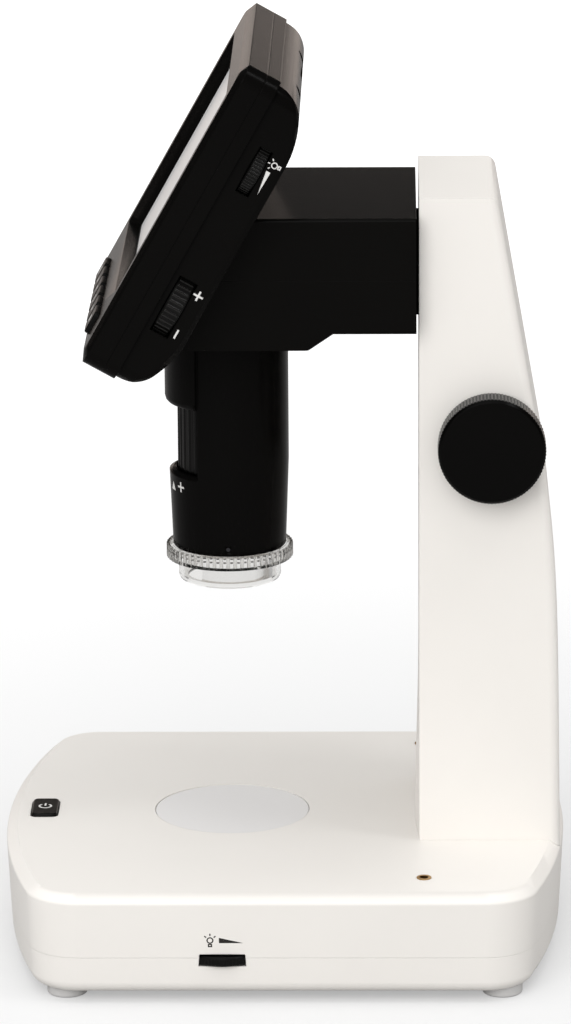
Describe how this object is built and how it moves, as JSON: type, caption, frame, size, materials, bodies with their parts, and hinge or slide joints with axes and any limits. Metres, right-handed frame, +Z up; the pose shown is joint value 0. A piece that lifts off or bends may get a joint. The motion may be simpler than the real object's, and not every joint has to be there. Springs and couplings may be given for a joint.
{
  "type": "digital microscope",
  "caption": "Standing digital microscope with a tilted screen, a geared sliding head over a lit stage, side focus knob, focus sleeve, thumbwheels, menu keys and a pull-off clear cap.",
  "frame": {"origin": "centre of the footprint on the standing surface, under the base", "axes": "+Z up; -Y is the side the screen faces; +Y is the column's side; +X is the side with the focus knob"},
  "size_m": [0.1348, 0.1422, 0.2304],
  "materials": {
    "white_shell": "satin white moulded plastic",
    "black_shell": "satin black moulded plastic",
    "black_control": "matt black plastic",
    "stage_frost": "frosted light diffuser",
    "soft_foot": "soft grey rubber",
    "brass_part": "turned brass",
    "steel_part": "plain steel",
    "acetal_part": "natural low-friction plastic",
    "circuit_board": "green board with solder mask",
    "battery_wrap": "blue film wrap",
    "display_face": "unlit picture panel",
    "lens_glass": "coated lens glass",
    "clear_plastic": "clear moulded plastic"
  },
  "bodies": {
    "stand": {"base_cover": "white_shell", "base_tray": "white_shell", "column_shell": "white_shell", "base_feet": "soft_foot", "base_screws": "steel_part", "stage_disc": "stage_frost", "stage_light_board": "circuit_board", "power_switch": "black_control", "stage_light_dimmer": "black_control", "clip_sockets": "brass_part", "power_inlet": "black_control", "battery_pack": "battery_wrap", "column_screws": "steel_part", "guide_rods": "steel_part", "upper_rod_bracket": "acetal_part", "lower_rod_bracket": "acetal_part", "shaft_bushes": "brass_part"},
    "power_button": {"power_button": "black_control"},
    "stage_light_wheel": {"stage_light_wheel": "black_control"},
    "focus_drive": {"focus_knob": "black_shell", "focus_shaft": "steel_part", "drive_pinion": "acetal_part"},
    "head": {"carriage": "acetal_part", "focus_rack": "acetal_part", "carriage_screws": "steel_part", "arm_upper_shell": "black_shell", "arm_lower_shell": "black_shell", "arm_screws": "steel_part", "screen_front_shell": "black_shell", "screen_rear_shell": "black_shell", "housing_screws": "steel_part", "screen_screws": "steel_part", "display_panel": "display_face", "main_board": "circuit_board", "button_board": "circuit_board", "card_socket": "steel_part", "ring_light_dimmer": "black_control", "zoom_switch": "black_control", "barrel_shell": "black_shell", "barrel_screw": "steel_part", "ring_light_board": "circuit_board", "sensor_mount": "black_control", "sensor_board": "circuit_board", "mount_screws": "steel_part"},
    "focus_sleeve": {"focus_sleeve": "black_control"},
    "lens_carrier": {"lens_carrier": "black_control", "objective_lens": "lens_glass"},
    "ring_light_wheel": {"ring_light_wheel": "black_control"},
    "zoom_wheel": {"zoom_wheel": "black_control"},
    "clear_cap": {"clear_cap": "clear_plastic"},
    "menu_button_1": {"menu_button_1": "black_control"},
    "menu_button_2": {"menu_button_2": "black_control"},
    "menu_button_3": {"menu_button_3": "black_control"},
    "menu_button_4": {"menu_button_4": "black_control"},
    "menu_button_5": {"menu_button_5": "black_control"},
    "menu_button_6": {"menu_button_6": "black_control"}
  },
  "joints": [
    {"name": "head_slide", "type": "slide", "parent": "stand", "child": "head", "axis": [0, 0, 1], "range_m": [-0.045, 0.003]},
    {"name": "focus_knob_turn", "type": "hinge", "parent": "stand", "child": "focus_drive", "pos_m": [0.026, 0.0521, 0.1321], "axis": [1, 0, 0], "range_deg": [-35, 435]},
    {"name": "stage_light_turn", "type": "hinge", "parent": "stand", "child": "stage_light_wheel", "pos_m": [0.0582, -0.0145, 0.0114], "axis": [0, 0, 1], "range_deg": [-135, 135]},
    {"name": "power_press", "type": "slide", "parent": "stand", "child": "power_button", "axis": [0, 0, -1], "range_m": [0, 0.001], "stiffness_N_per_m": 300, "springref_m": -0.001},
    {"name": "focus_sleeve_turn", "type": "hinge", "parent": "head", "child": "focus_sleeve", "pos_m": [0, -0.0136, 0.12], "axis": [0, 0, 1], "range_deg": [-153, 153]},
    {"name": "lens_focus_slide", "type": "slide", "parent": "head", "child": "lens_carrier", "axis": [0, 0, 1], "range_m": [-0.00333, 0.00333]},
    {"name": "ring_light_turn", "type": "hinge", "parent": "head", "child": "ring_light_wheel", "pos_m": [0.0366, -0.00562, 0.20478], "axis": [0, -0.8712, 0.4909], "range_deg": [-135, 135]},
    {"name": "zoom_turn", "type": "hinge", "parent": "head", "child": "zoom_wheel", "pos_m": [0.0346, -0.02539, 0.17133], "axis": [0, -0.8712, 0.4909], "range_deg": [-20, 20], "stiffness_Nm_per_rad": 0.01},
    {"name": "clear_cap_pull", "type": "slide", "parent": "head", "child": "clear_cap", "axis": [0, 0, -1], "range_m": [0, 0.012]},
    {"name": "menu_1_press", "type": "slide", "parent": "head", "child": "menu_button_1", "axis": [0, 0.8712, -0.4909], "range_m": [0, 0.0006], "stiffness_N_per_m": 300, "springref_m": -0.001},
    {"name": "menu_2_press", "type": "slide", "parent": "head", "child": "menu_button_2", "axis": [0, 0.8712, -0.4909], "range_m": [0, 0.0006], "stiffness_N_per_m": 300, "springref_m": -0.001},
    {"name": "menu_3_press", "type": "slide", "parent": "head", "child": "menu_button_3", "axis": [0, 0.8712, -0.4909], "range_m": [0, 0.0006], "stiffness_N_per_m": 300, "springref_m": -0.001},
    {"name": "menu_4_press", "type": "slide", "parent": "head", "child": "menu_button_4", "axis": [0, 0.8712, -0.4909], "range_m": [0, 0.0006], "stiffness_N_per_m": 300, "springref_m": -0.001},
    {"name": "menu_5_press", "type": "slide", "parent": "head", "child": "menu_button_5", "axis": [0, 0.8712, -0.4909], "range_m": [0, 0.0006], "stiffness_N_per_m": 300, "springref_m": -0.001},
    {"name": "menu_6_press", "type": "slide", "parent": "head", "child": "menu_button_6", "axis": [0, 0.8712, -0.4909], "range_m": [0, 0.0006], "stiffness_N_per_m": 300, "springref_m": -0.001}
  ],
  "couplings": [
    {"joint": "focus_knob_turn", "follows": "head_slide", "rad_per_m": -166.67},
    {"joint": "focus_sleeve_turn", "follows": "lens_focus_slide", "rad_per_m": 785.4}
  ]
}
